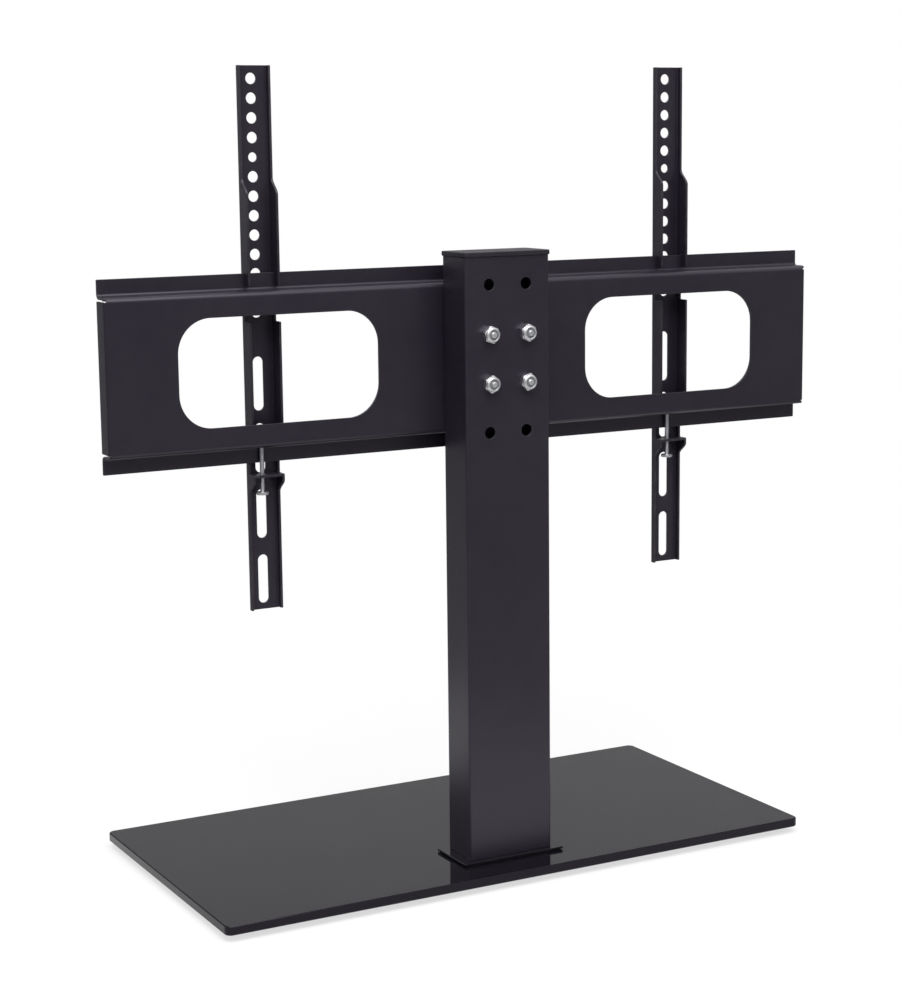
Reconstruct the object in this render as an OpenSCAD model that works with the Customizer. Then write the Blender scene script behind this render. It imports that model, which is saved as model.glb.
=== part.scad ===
// Table-top TV stand with a bolted mount: a glass base, a rectangular steel column,
// a folded bracket plate and two channel arms that hook over its rails.
// X runs along the bracket plate. The TV hangs on the -Y side, and +Y is the rear.
// Z is up, and the origin is on the table under the middle of the glass.

/* [Glass base] */
// Length of the glass
glass_w = 560; // [420:10:700]
// Depth of the glass
glass_d = 280; // [260:10:400]
// Thickness of the glass
glass_t = 8; // [6:0.5:12]
// Radius of the glass corners
glass_corner_r = 6; // [2:1:20]
// Height of the rubber feet
foot_h = 6; // [5.5:0.5:12]
// Radius of the rubber feet
foot_r = 10; // [6:0.5:16]
// Distance from the glass edges to the middle of a foot
foot_inset = 32; // [20:1:60]

/* [Column] */
// Width of the column, along X
column_w = 80; // [76:1:120]
// Depth of the column, along Y
column_d = 40; // [36:1:60]
// Wall of the column
column_wall = 2; // [1.5:0.5:3]
// Outer corner radius of the column
column_corner_r = 2.5; // [1:0.5:4]
// Length of the column tube
column_len = 513; // [460:1:800]
// Distance from the rear edge of the glass to the column
column_setback = 36; // [10:1:60]
// Width of the foot plate
foot_plate_w = 95; // [90:1:150]
// Depth of the foot plate
foot_plate_d = 50; // [46:1:80]
// Thickness of the foot plate
foot_plate_t = 2.5; // [2:0.5:5]
// Thickness of the cap above the tube
cap_t = 4; // [3:0.5:8]
// How far the cap stands out past the tube
cap_overhang = 1.2; // [0.6:0.1:2]
// Depth of the cap's plug in the tube
cap_plug = 14; // [8:1:16]

/* [Mount holes in the column] */
// Radius of the holes
mount_hole_r = 5; // [4.4:0.1:5.5]
// Spacing of the holes along X
mount_hole_dx = 35; // [30:1:44]
// Spacing of the levels
mount_hole_dz = 41; // [30:0.5:46]
// Number of levels
mount_levels = 4; // [4:2:6]
// Distance from the tube's top to the highest holes
mount_hole_drop = 23; // [22:1:40]

/* [Bracket plate] */
// Length of the bracket plate
plate_len = 672; // [600:1:800]
// Height of the bracket plate over its two flanges
plate_h = 127; // [116:1:160]
// Thickness of the sheet steel
sheet_t = 2; // [1.5:0.1:2.4]
// Outer radius of the folds
fold_r = 4.5; // [2.5:0.1:5]
// Depth from the panel's rear face to the rail's front face
rail_depth = 17; // [16:0.5:24]
// How far a rail stands past its flange
rail_h = 13.5; // [12:0.5:18]
// Gap at the corners between the end flange and the long flanges
corner_gap = 1.5; // [1:0.1:3]
// Length of a window
window_w = 176; // [80:1:200]
// Height of a window
window_h = 88; // [60:1:96]
// Corner radius of a window
window_r = 28; // [8:1:30]
// Distance from the middle of the plate to the middle of a window
window_x = 188; // [150:1:196]
// How far the middle of the plate is below the middle of its bolts
plate_drop = 1.3; // [0:0.1:4]

/* [Arms] */
// Distance from the middle of the plate to the middle of an arm
arm_x = 197.6; // [60:0.1:280]
// Length of an arm
arm_len = 442; // [430:1:560]
// Width of an arm
arm_w = 28; // [24:0.5:32]
// Depth of an arm
arm_depth = 6.2; // [6:0.1:12]
// Distance from the arm's top to the seat of its hook
hook_drop = 164; // [150:1:220]
// Depth of the hook, past the arm's own depth
hook_reach = 9.8; // [9:0.1:10.5]
// Height of the deep part above the hook's seat
hook_rise = 62; // [30:1:70]
// Length of the slope above it
hook_slope = 13.5; // [6:0.5:20]
// Length of the tongue behind the rail
hook_tongue = 11; // [6:0.5:11.5]
// Radius of the TV holes
tv_hole_r = 4.5; // [3.5:0.1:5]
// Radius of the small hole
small_hole_r = 3.8; // [2:0.1:4]
// Spacing of the TV holes
tv_hole_pitch = 15.5; // [14:0.1:16.5]
// Number of TV holes
tv_hole_count = 13; // [4:1:13]
// Distance from the arm's top to the first hole
tv_hole_first = 10.3; // [8:0.1:14]
// How far the line of holes and slots is to the right of the arm's middle
tv_line_offset = 1.3; // [0:0.1:3]
// Width of the TV slots
tv_slot_w = 9; // [6:0.5:11]
// Length of a TV slot
tv_slot_len = 40.6; // [20:0.1:42]
// How much longer the first slot is, at its lower end
first_slot_extra = 3.5; // [0:0.1:4]
// Spacing of the TV slots
tv_slot_pitch = 54.6; // [52:0.1:56]
// Distance from the arm's top to the first slot
tv_slot_first = 232.5; // [220:0.5:236]
// Which hole of the right arm is the small one, counted from the top
right_small_hole = 5; // [1:1:13]
// Which hole of the left arm is the small one, counted from the top
left_small_hole = 6; // [1:1:13]

/* [Safety screws] */
// Radius of the screw
screw_r = 2; // [1.8:0.1:3]
// Length of the screw under its head
screw_len = 37; // [30:1:45]
// Radius of the screw's head
screw_head_r = 5; // [4:0.1:5.5]
// Height of the screw's head
screw_head_h = 2.4; // [2:0.1:4]
// How far the screw stands to the right of the arm's middle
screw_offset = 4.4; // [0:0.1:5]

/* [Hidden] */
$fn = 64;

// Overrun of every cut
over = 1;

// Fits
seat_gap = 0.3;          // hook above the rail, and screw below the flange
rail_clear = 0.5;        // rail to the arm's edge and to the hook's tongue
screw_to_rail = 1.1;     // rail to the safety screw, clear of the fold
thread_clear = 0.05;     // screw in its lug
plug_clear = 0.1;        // cap's plug in the tube
sleeve_clear = 0.1;      // sleeve in the glass

// Base fasteners, M6
base_bolt_r = 2.95;
base_bolt_head_r = 6;
base_bolt_head_h = 3.3;
base_bolt_sink = 0.2;    // head below the face of the clamp plate
base_bolt_clear = 0.4;
base_bolt_show = 1.5;    // thread above the weld nut
weld_nut_flat = 10;
weld_nut_h = 5;
weld_nut_gap = 3;        // weld nut to the tube's wall
sleeve_wall = 2.2;
clamp_plate_t = 4;
gasket_t = 1;
gasket_inset = 1;        // gasket edge inside the plate's edge
plate_corner_r = 2;
foot_edge_r = 1.2;
glass_bevel = 0.8;

// Mount fasteners, M8
bolt_r = 4;
bolt_head_flat = 13;
bolt_head_h = 5.3;
bolt_clear = 0.5;
bolt_show = 1;           // thread past the nut
bolt_end_bevel = 0.8;
washer_r = 8;
washer_t = 1.6;
nut_flat = 13;
nut_hex_h = 6.2;
nut_collar_r = 5.8;
nut_collar_h = 1.8;
nut_thread_clear = 0.05;
insert_r = 5;
insert_t = 1.7;
insert_recess = 2;
hex_bevel_angle = 30;
nut_turn = 34;           // turn from one nut to the next

// Cap
plug_wall = 2;

// Arm details
arm_fold_r = 2.5;
slit_w = sheet_t + 2*rail_clear;
inner_drop = 24;         // upper flange to the deep part inside the plate
inner_clear = 2.5;       // deep part to the lower flange
ear_gap = 9.8;           // lower rail to the top of the ear
ear_len = 5;
ear_slope = 11;
lug_t = 2;
lug_edge = 3;            // lug past the arm's shallow edge, toward the web
slope_steps = 10;
tv_slot_end = 4;         // least web below the last slot
tv_slot_last = floor((arm_len - tv_slot_first - tv_slot_len - tv_slot_end)/tv_slot_pitch);
screw_tip_bevel = 0.6;
screw_dome_r = 1.2;
recess_w = 1.3;
recess_len = 5;
recess_depth = 1.2;

// Heights
glass_z = foot_h;
glass_top = glass_z + glass_t;
foot_plate_z = glass_top + gasket_t;
column_z = foot_plate_z + foot_plate_t;
column_top = column_z + column_len;
mount_top = column_top - mount_hole_drop;
bolts_z = mount_top - mount_hole_dz*(mount_levels - 1)/2;
plate_z = bolts_z - plate_drop;
rail_top = plate_z + plate_h/2 + rail_h;
seat_z = rail_top + seat_gap;
clamp_plate_z = glass_z - gasket_t - clamp_plate_t;

// Places along Y
rear_y = glass_d/2 - column_setback;
column_y = rear_y - column_d/2;
plate_y = rear_y - column_d;
rail_y = plate_y - rail_depth;
web_y = rail_y - rail_clear - arm_depth;
screw_y = rail_y + sheet_t + screw_to_rail + screw_r;

// Places along the arm, measured down from the hook's seat
lower_flange = seat_gap + rail_h + plate_h - sheet_t;
lower_rail = seat_gap + 2*rail_h + plate_h;
inner_top = seat_gap + rail_h + sheet_t + inner_drop;
inner_end = lower_flange - inner_clear;
ear_top = lower_rail + ear_gap;
screw_tip = lower_flange + sheet_t + seat_gap;

// Base bolts stand inside the tube, clear of its walls
base_bolt_x = column_w/2 - column_wall - weld_nut_gap - weld_nut_flat/2 - weld_nut_gap;
base_bolt_y = column_d/2 - column_wall - weld_nut_gap - weld_nut_flat/2;
glass_hole_r = base_bolt_r + base_bolt_clear + sleeve_wall + sleeve_clear;

// Corner radius of a hexagon from its width over the flats
function hex_r(flat) = flat/2/cos(30);

// Points of a smooth slope from one place to another
function slope(from, to) = [
    for (i = [0:slope_steps])
        let (share = i/slope_steps)
        [from.x + (to.x - from.x)*(1 - cos(180*share))/2, from.y + (to.y - from.y)*share]
];

// Rectangle with round corners, centred
module round_rect(w, h, r) {
    square([w - 2*r, h], center = true);
    square([w, h - 2*r], center = true);
    for (sx = [-1, 1], sy = [-1, 1])
        translate([sx*(w/2 - r), sy*(h/2 - r)]) circle(r);
}

// Rectangle from the origin with one round corner there
module one_round_rect(w, h, r) {
    translate([r, 0]) square([w - r, h]);
    translate([0, r]) square([w, h - r]);
    translate([r, r]) circle(r);
}

// Section of a strip of sheet folded once, its outer corner at the origin
module folded_strip(w, h, r, t) {
    difference() {
        one_round_rect(w, h, r);
        translate([t, t]) one_round_rect(w, h, r - t);
    }
}

// Hexagon whose corners are bevelled to a circle on both faces
module bevelled_hex(flat, h) {
    grow = hex_r(flat) - flat/2 + over;
    rise = grow*tan(hex_bevel_angle);
    intersection() {
        cylinder(r = hex_r(flat), h = h, $fn = 6);
        rotate_extrude() polygon([
            [0, 0], [flat/2, 0], [flat/2 + grow, rise],
            [flat/2 + grow, h - rise], [flat/2, h], [0, h]
        ]);
    }
}

// Places its children at the four base bolts
module at_base_bolts() {
    for (sx = [-1, 1], sy = [-1, 1])
        translate([sx*base_bolt_x, column_y + sy*base_bolt_y, 0]) children();
}

// Places its children at the four bolts in the two middle levels, along +Y
module at_mount_bolts(y, turn = 0) {
    for (sx = [-1, 1], sz = [-1, 1])
        translate([sx*mount_hole_dx/2, y, bolts_z + sz*mount_hole_dz/2])
            rotate([-90, 0, 0]) rotate((sx + 2*sz)*turn) children();
}

// Flat plate on the column's axis with a hole at each base bolt
module base_sheet(w, d, t, z, hole_r) {
    difference() {
        translate([0, column_y, z]) linear_extrude(t) round_rect(w, d, plate_corner_r);
        at_base_bolts() translate([0, 0, z - over]) cylinder(r = hole_r, h = t + 2*over);
    }
}

module base_feet() {
    color("#1c1c1e")
    for (sx = [-1, 1], sy = [-1, 1])
        translate([sx*(glass_w/2 - foot_inset), sy*(glass_d/2 - foot_inset), 0])
            rotate_extrude() {
                translate([0, foot_edge_r]) square([foot_r, foot_h - foot_edge_r]);
                square([foot_r - foot_edge_r, foot_h]);
                translate([foot_r - foot_edge_r, foot_edge_r]) intersection() {
                    circle(foot_edge_r);
                    translate([0, -foot_edge_r]) square(foot_edge_r);
                }
            }
}

// Bar of glass along X with bevelled edges, from z = 0
module bevelled_bar(len, w, t) {
    rotate([90, 0, 90]) linear_extrude(len, center = true) polygon([
        [glass_bevel - w/2, 0], [w/2 - glass_bevel, 0], [w/2, glass_bevel],
        [w/2, t - glass_bevel], [w/2 - glass_bevel, t], [glass_bevel - w/2, t],
        [-w/2, t - glass_bevel], [-w/2, glass_bevel]
    ]);
}

module glass_base() {
    color("#17171b")
    difference() {
        translate([0, 0, glass_z]) intersection() {
            linear_extrude(glass_t) round_rect(glass_w, glass_d, glass_corner_r);
            bevelled_bar(glass_w, glass_d, glass_t);
            rotate(90) bevelled_bar(glass_d, glass_w, glass_t);
        }
        at_base_bolts() translate([0, 0, glass_z - over])
            cylinder(r = glass_hole_r, h = glass_t + 2*over);
    }
}

module glass_sleeves() {
    color("#d8d6cf")
    at_base_bolts() translate([0, 0, glass_z]) difference() {
        cylinder(r = glass_hole_r - sleeve_clear, h = glass_t);
        translate([0, 0, -over])
            cylinder(r = base_bolt_r + base_bolt_clear, h = glass_t + 2*over);
    }
}

module clamp_gasket() {
    color("#2a2a2c")
    base_sheet(foot_plate_w - 2*gasket_inset, foot_plate_d - 2*gasket_inset, gasket_t,
        glass_z - gasket_t, base_bolt_r + base_bolt_clear);
}

module clamp_plate() {
    color("#b9bcc0")
    difference() {
        base_sheet(foot_plate_w, foot_plate_d, clamp_plate_t, clamp_plate_z,
            base_bolt_r + base_bolt_clear);
        at_base_bolts() translate([0, 0, clamp_plate_z]) {
            translate([0, 0, -over])
                cylinder(r = base_bolt_head_r + base_bolt_clear, h = over + base_bolt_sink);
            translate([0, 0, base_bolt_sink])
                cylinder(r1 = base_bolt_head_r + base_bolt_clear,
                    r2 = base_bolt_r + base_bolt_clear, h = base_bolt_head_h);
        }
    }
}

module base_bolts() {
    bolt_top = column_z + weld_nut_h + base_bolt_show;
    head_z = clamp_plate_z + base_bolt_sink;
    color("#c9ccd0")
    at_base_bolts() difference() {
        union() {
            translate([0, 0, head_z])
                cylinder(r1 = base_bolt_head_r, r2 = base_bolt_r, h = base_bolt_head_h);
            translate([0, 0, head_z + base_bolt_head_h])
                cylinder(r = base_bolt_r, h = bolt_top - head_z - base_bolt_head_h);
        }
        for (turn = [0, 90])
            rotate(turn) translate([-recess_len/2, -recess_w/2, head_z - over])
                cube([recess_len, recess_w, recess_depth + over]);
    }
}

module foot_gasket() {
    color("#2a2a2c")
    base_sheet(foot_plate_w - 2*gasket_inset, foot_plate_d - 2*gasket_inset, gasket_t,
        glass_top, base_bolt_r + base_bolt_clear);
}

module foot_plate() {
    color("#26252a")
    base_sheet(foot_plate_w, foot_plate_d, foot_plate_t, foot_plate_z,
        base_bolt_r + base_bolt_clear);
}

module foot_weld_nuts() {
    color("#8f9296")
    at_base_bolts() translate([0, 0, column_z]) difference() {
        cylinder(r = hex_r(weld_nut_flat), h = weld_nut_h, $fn = 6);
        translate([0, 0, -over])
            cylinder(r = base_bolt_r + thread_clear, h = weld_nut_h + 2*over);
    }
}

module column_tube() {
    color("#2b2a2f")
    difference() {
        translate([0, column_y, column_z]) linear_extrude(column_len) difference() {
            round_rect(column_w, column_d, column_corner_r);
            round_rect(column_w - 2*column_wall, column_d - 2*column_wall,
                max(column_corner_r - column_wall, column_wall/4));
        }
        for (sx = [-1, 1], level = [0:mount_levels - 1])
            translate([sx*mount_hole_dx/2, rear_y + over, mount_top - level*mount_hole_dz])
                rotate([90, 0, 0]) cylinder(r = mount_hole_r, h = column_d + 2*over);
    }
}

module column_cap() {
    plug_w = column_w - 2*column_wall - 2*plug_clear;
    plug_d = column_d - 2*column_wall - 2*plug_clear;
    color("#222126")
    translate([0, column_y, column_top]) {
        linear_extrude(cap_t)
            round_rect(column_w + 2*cap_overhang, column_d + 2*cap_overhang,
                column_corner_r + cap_overhang);
        translate([0, 0, -cap_plug]) linear_extrude(cap_plug) difference() {
            round_rect(plug_w, plug_d, plug_wall/2);
            square([plug_w - 2*plug_wall, plug_d - 2*plug_wall], center = true);
        }
    }
}

// Upper half of the plate's section: x runs from the panel's rear face to the front.
// The strips lap over each other along the flange and past the middle of the panel.
module half_section() {
    translate([0, plate_h/2]) mirror([0, 1])
        folded_strip(rail_depth - fold_r, plate_h/2 + sheet_t, fold_r, sheet_t);
    translate([rail_depth, plate_h/2 - sheet_t]) mirror([1, 0])
        folded_strip(rail_depth - fold_r, rail_h + sheet_t, fold_r, sheet_t);
}

// Flange folded forward at one end of the panel, lapping over the panel
module end_flange() {
    flange_h = plate_h - 2*sheet_t - 2*corner_gap;
    translate([plate_len/2, plate_y, plate_z - flange_h/2]) rotate(180)
        linear_extrude(flange_h)
            folded_strip(rail_depth, rail_depth, fold_r, sheet_t);
}

module bracket_plate() {
    color("#2e2c32") {
        difference() {
            translate([0, plate_y, plate_z]) rotate([90, 0, -90])
                linear_extrude(plate_len, center = true) {
                    half_section();
                    mirror([0, 1]) half_section();
                }
            // the panel stops short of the end folds
            for (side = [-1, 1])
                translate([side*plate_len/2, plate_y, plate_z])
                    cube([2*fold_r, 2*rail_depth, plate_h - 2*sheet_t], center = true);
            for (side = [-1, 1])
                translate([side*window_x, plate_y + over, plate_z]) rotate([90, 0, 0])
                    linear_extrude(sheet_t + 2*over)
                        round_rect(window_w, window_h, window_r);
            at_mount_bolts(plate_y - sheet_t - over)
                cylinder(r = bolt_r + bolt_clear, h = sheet_t + 2*over);
        }
        for (side = [0, 1]) mirror([side, 0, 0]) end_flange();
    }
}

module bracket_bolts() {
    grip = washer_t + sheet_t + column_d + nut_hex_h + nut_collar_h + bolt_show;
    color("#c9ccd0")
    at_mount_bolts(plate_y - sheet_t - washer_t) {
        translate([0, 0, -bolt_head_h]) bevelled_hex(bolt_head_flat, bolt_head_h);
        cylinder(r = bolt_r, h = grip - bolt_end_bevel);
        translate([0, 0, grip - bolt_end_bevel])
            cylinder(r1 = bolt_r, r2 = bolt_r - bolt_end_bevel, h = bolt_end_bevel);
    }
}

module bracket_washers() {
    color("#c2c5c9")
    at_mount_bolts(plate_y - sheet_t - washer_t) difference() {
        cylinder(r = washer_r, h = washer_t);
        translate([0, 0, -over]) cylinder(r = bolt_r + bolt_clear, h = washer_t + 2*over);
    }
}

module bracket_nuts() {
    color("#d4d6da")
    at_mount_bolts(rear_y, nut_turn) difference() {
        union() {
            bevelled_hex(nut_flat, nut_hex_h);
            translate([0, 0, nut_hex_h/2])
                cylinder(r = nut_collar_r, h = nut_hex_h/2 + nut_collar_h);
        }
        translate([0, 0, -over])
            cylinder(r = bolt_r + nut_thread_clear, h = nut_hex_h + nut_collar_h + 2*over);
        translate([0, 0, nut_hex_h + nut_collar_h - insert_recess])
            cylinder(r = insert_r, h = insert_recess + over);
    }
}

module nut_inserts() {
    color("#8e9196")
    at_mount_bolts(rear_y + nut_hex_h + nut_collar_h - insert_recess) difference() {
        cylinder(r = insert_r, h = insert_t);
        translate([0, 0, -over])
            cylinder(r = bolt_r + nut_thread_clear, h = insert_t + 2*over);
    }
}

// Section of an arm at its full hook depth: the web in front and two side walls
module arm_section() {
    depth = arm_depth + hook_reach;
    difference() {
        union() {
            translate([-arm_w/2, arm_fold_r]) square([arm_w, depth - arm_fold_r]);
            translate([-arm_w/2 + arm_fold_r, 0]) square([arm_w - 2*arm_fold_r, depth]);
            for (side = [-1, 1])
                translate([side*(arm_w/2 - arm_fold_r), arm_fold_r]) circle(arm_fold_r);
        }
        translate([-arm_w/2 + sheet_t, sheet_t]) square([arm_w - 2*sheet_t, depth]);
    }
}

// Side view of an arm: x is the depth behind the web's front face, y the height
// above the hook's seat
module arm_side() {
    deep = arm_depth + hook_reach;
    foot = hook_drop - arm_len;
    ear_end = -ear_top - ear_len;
    polygon(concat(
        [[0, hook_drop], [0, foot], [arm_depth, foot]],
        slope([arm_depth, ear_end - ear_slope], [deep, ear_end]),
        [[deep, -ear_top], [arm_depth, -ear_top]],
        [[arm_depth, -inner_end], [deep, -inner_end]],
        [[deep, -inner_top], [arm_depth, -inner_top]],
        [[arm_depth, 0], [arm_depth + slit_w, 0]],
        [[arm_depth + slit_w, -hook_tongue], [deep, -hook_tongue]],
        slope([deep, hook_rise], [arm_depth, hook_rise + hook_slope]),
        [[arm_depth, hook_drop]]
    ));
}

// Cut of a slot that hangs down from z = 0, through the web
module tv_slot(len) {
    straight = len - tv_slot_w;
    rotate([90, 0, 0]) linear_extrude(sheet_t + 2*over)
        translate([0, -len/2]) {
            square([tv_slot_w, straight], center = true);
            for (end = [-1, 1])
                translate([0, end*straight/2]) circle(tv_slot_w/2);
        }
}

// Arm with its middle at x, whose hole number small is the small one
module arm(x, small) {
    color("#2a292e")
    translate([x, web_y, seat_z]) {
        difference() {
            intersection() {
                translate([0, 0, hook_drop - arm_len]) linear_extrude(arm_len) arm_section();
                rotate([90, 0, 90]) linear_extrude(arm_w, center = true) arm_side();
            }
            for (i = [1:tv_hole_count])
                translate([tv_line_offset, sheet_t + over,
                    hook_drop - tv_hole_first - (i - 1)*tv_hole_pitch])
                    rotate([90, 0, 0])
                        cylinder(r = i == small ? small_hole_r : tv_hole_r,
                            h = sheet_t + 2*over);
            for (i = [0:tv_slot_last])
                translate([tv_line_offset, sheet_t + over,
                    hook_drop - tv_slot_first - i*tv_slot_pitch])
                    tv_slot(tv_slot_len + (i == 0 ? first_slot_extra : 0));
        }
        // threaded lug across the ears
        difference() {
            translate([-arm_w/2 + sheet_t/2, arm_depth - lug_edge, -ear_top - lug_t])
                cube([arm_w - sheet_t, hook_reach + lug_edge, lug_t]);
            translate([screw_offset, screw_y - web_y, -ear_top - lug_t - over])
                cylinder(r = screw_r + thread_clear, h = lug_t + 2*over);
        }
    }
}

module left_arm() {
    arm(-arm_x, left_small_hole);
}

module right_arm() {
    arm(arm_x, right_small_hole);
}

// Screw under an arm's lug, its tip just under the plate's lower flange
module safety_screw(x) {
    head_top = -screw_len;
    color("#cfd1d5")
    translate([x + screw_offset, screw_y, seat_z - screw_tip]) difference() {
        union() {
            translate([0, 0, -screw_tip_bevel])
                cylinder(r1 = screw_r, r2 = screw_r - screw_tip_bevel, h = screw_tip_bevel);
            translate([0, 0, head_top])
                cylinder(r = screw_r, h = screw_len - screw_tip_bevel);
            translate([0, 0, head_top]) mirror([0, 0, 1]) rotate_extrude() {
                square([screw_head_r, screw_head_h - screw_dome_r]);
                square([screw_head_r - screw_dome_r, screw_head_h]);
                translate([screw_head_r - screw_dome_r, screw_head_h - screw_dome_r])
                    intersection() {
                        circle(screw_dome_r);
                        square(screw_dome_r);
                    }
            }
        }
        for (turn = [0, 90])
            rotate(turn)
                translate([-recess_len/2, -recess_w/2, head_top - screw_head_h - over])
                    cube([recess_len, recess_w, recess_depth + over]);
    }
}

module left_safety_screw() {
    safety_screw(-arm_x);
}

module right_safety_screw() {
    safety_screw(arm_x);
}

base_feet();
glass_base();
glass_sleeves();
clamp_gasket();
clamp_plate();
base_bolts();
foot_gasket();
foot_plate();
foot_weld_nuts();
column_tube();
column_cap();
bracket_plate();
bracket_bolts();
bracket_washers();
bracket_nuts();
nut_inserts();
left_arm();
right_arm();
left_safety_screw();
right_safety_screw();
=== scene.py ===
"""Looks of a table-top TV stand: black glass, a powder-coated column, a folded bracket
plate with two channel arms, and zinc-plated screws, bolts and nuts."""
from math import atan2, cos, degrees, hypot, pi, radians, sin, tan

import bpy
from mathutils import Matrix, Vector, geometry


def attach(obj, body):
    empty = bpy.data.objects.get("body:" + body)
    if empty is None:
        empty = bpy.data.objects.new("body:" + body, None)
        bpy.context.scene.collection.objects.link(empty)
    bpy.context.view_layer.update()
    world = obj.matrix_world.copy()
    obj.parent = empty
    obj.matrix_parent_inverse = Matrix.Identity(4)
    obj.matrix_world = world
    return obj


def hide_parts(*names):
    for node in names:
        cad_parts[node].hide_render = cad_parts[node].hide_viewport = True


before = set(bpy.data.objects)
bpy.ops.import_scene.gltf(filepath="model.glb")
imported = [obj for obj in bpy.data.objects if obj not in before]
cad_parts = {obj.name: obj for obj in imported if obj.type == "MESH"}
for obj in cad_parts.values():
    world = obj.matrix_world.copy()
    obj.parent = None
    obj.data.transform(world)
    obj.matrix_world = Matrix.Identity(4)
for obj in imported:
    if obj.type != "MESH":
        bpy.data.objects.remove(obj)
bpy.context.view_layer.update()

MM = 0.001
EDGE_LAYER = "bare_edge"


# Sizes in millimetres, the same as the frame's

GLASS = dict(w=560, d=280, t=8, corner=6, bottom=6, bevel=0.8, hole=5.65)
FOOT = dict(r=10, inset=32)
PLATE = dict(w=98, d=51, t=2, corner=2, bottom=15, hole=3.35)
COLUMN = dict(w=80, d=40, wall=2, corner=2.5, y=84, rear=104, bottom=17, top=530.5, hole=5,
              first_hole=23, hole_step=41, levels=4)
CAP = dict(w=82.4, d=42.4, t=4, corner=3.7, round=0.8, plug_w=75.8, plug_d=35.8, wall=2, plug=14)
SHEET = 2
BAR = dict(length=672, h=127, z=444.7, rear=64, fold=4.5, end_fold=2.5, rail_y=47, rail_h=13.5,
           flap=1, gap=1.6)
WINDOW = dict(x=188, w=176, h=88, r=28)
RIM = 0.35
ARM = dict(x=197.6, w=28, fold=2.5, front=40.3, depth=6.2, reach=9.8, seat=522, top=164,
           bottom=-278, line=1.3)
# Heights on the arm's side walls, from the seat of its hook
WALL = dict(ear_low=-180.1, ear_full=-169.1, ear_top=-164.1, middle_low=-136.3,
            middle_top=-39.8, hook_tip=-11, shoulder=62, shoulder_end=75.5)
TV_HOLES = dict(count=13, first=10.3, step=15.5, r=4.5, small=3.8)
TV_SLOTS = dict(w=9, places=((-68.5, 44.1), (-123.1, 40.6), (-177.7, 40.6), (-232.3, 40.6)))
LUG = dict(y=9.6, d=12.8, below=165.1, corner=0.8, rim=0.3)
BOLT_X, BOLT_Z, BOLT_MID = 17.5, 20.5, 446
BOLT = dict(r=4, root=3.4, pitch=1.25, plain=30, past=9, flats=13, head=5.3, hole=4.5)
WASHER = dict(r=8, t=1.6, bore=4.5)
NUT = dict(body=5.4, bore=4.05, collar=6.4, h=8, ring=4.2, turn=34)
BASE_BOLTS = [(sx*27, 84 + sy*10) for sx in (-1, 1) for sy in (-1, 1)]
SCREW = dict(y=52.1, off=4.4, tip=380.9, length=37, r=2, head_r=5, head_h=2.4, pitch=0.7,
             root=1.65, flat_r=3.6)


# Flat outlines: lists of (across, along), the material on the left of the way round

def arc(cx, cy, r, start, end, steps):
    return [(cx + r*cos(radians(start + (end - start)*i/steps)),
             cy + r*sin(radians(start + (end - start)*i/steps))) for i in range(steps + 1)]


def rounded_box(cx, cy, w, h, r, steps=8):
    points = []
    for sx, sy, start in ((1, 1, 0), (-1, 1, 90), (-1, -1, 180), (1, -1, 270)):
        points += arc(cx + sx*(w/2 - r), cy + sy*(h/2 - r), r, start, start + 90, steps)
    return tidy_loop(points)


def round_hole(cx, cy, r, steps=48):
    return arc(cx, cy, r, 360, 0, steps)[:-1]


def box_hole(cx, cy, w, h, r, steps=12):
    return list(reversed(rounded_box(cx, cy, w, h, r, steps)))


def tidy_loop(points, least=1e-4):
    """The loop without points that lie on their neighbour."""
    kept = []
    for p in points:
        if not kept or hypot(p[0] - kept[-1][0], p[1] - kept[-1][1]) > least:
            kept.append(p)
    if hypot(kept[0][0] - kept[-1][0], kept[0][1] - kept[-1][1]) <= least:
        kept.pop()
    return kept


def soften(points, r, steps=4, least_turn=12):
    """The loop with each corner rounded to a radius of r, or less beside a short edge."""
    out, n = [], len(points)
    for i in range(n):
        a, b, c = Vector(points[i - 1]), Vector(points[i]), Vector(points[(i + 1) % n])
        back, on = a - b, c - b
        turn = pi - back.angle(on)
        if degrees(turn) < least_turn:
            out.append(points[i])
            continue
        cut = min(r*tan(turn/2), 0.45*back.length, 0.45*on.length)
        p, q = b + back.normalized()*cut, b + on.normalized()*cut
        for k in range(steps + 1):
            s = k/steps
            out.append(tuple(p*(1 - s)**2 + b*2*s*(1 - s) + q*s*s))
    return tidy_loop(out)


def split_at(points, axis, places):
    """The loop with a point added wherever it crosses one of the places on an axis."""
    out, n = [], len(points)
    for i in range(n):
        a, b = points[i], points[(i + 1) % n]
        out.append(a)
        lo, hi = sorted((a[axis], b[axis]))
        cuts = [c for c in places if lo + 1e-6 < c < hi - 1e-6]
        for c in sorted(cuts, reverse=a[axis] > b[axis]):
            s = (c - a[axis])/(b[axis] - a[axis])
            p = [a[0] + (b[0] - a[0])*s, a[1] + (b[1] - a[1])*s]
            p[axis] = c
            out.append(tuple(p))
    return out


def outward(points, joined):
    """For each point of a loop, how far it moves for one step away from the material.
    The edges that joined() picks stay where they are."""
    n, moves = len(points), []
    for i in range(n):
        a, b, c = Vector(points[i - 1]), Vector(points[i]), Vector(points[(i + 1) % n])
        e, f = (b - a).normalized(), (c - b).normalized()
        en, fn = Vector((e.y, -e.x)), Vector((f.y, -f.x))
        still_e, still_f = joined(a, b), joined(b, c)
        if still_e and still_f:
            moves.append(Vector((0, 0)))
        elif still_e:
            moves.append(e/e.dot(fn))
        elif still_f:
            moves.append(f/f.dot(en))
        else:
            moves.append((en + fn)/max((en + fn).dot(en), 0.2))
    return moves


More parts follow.
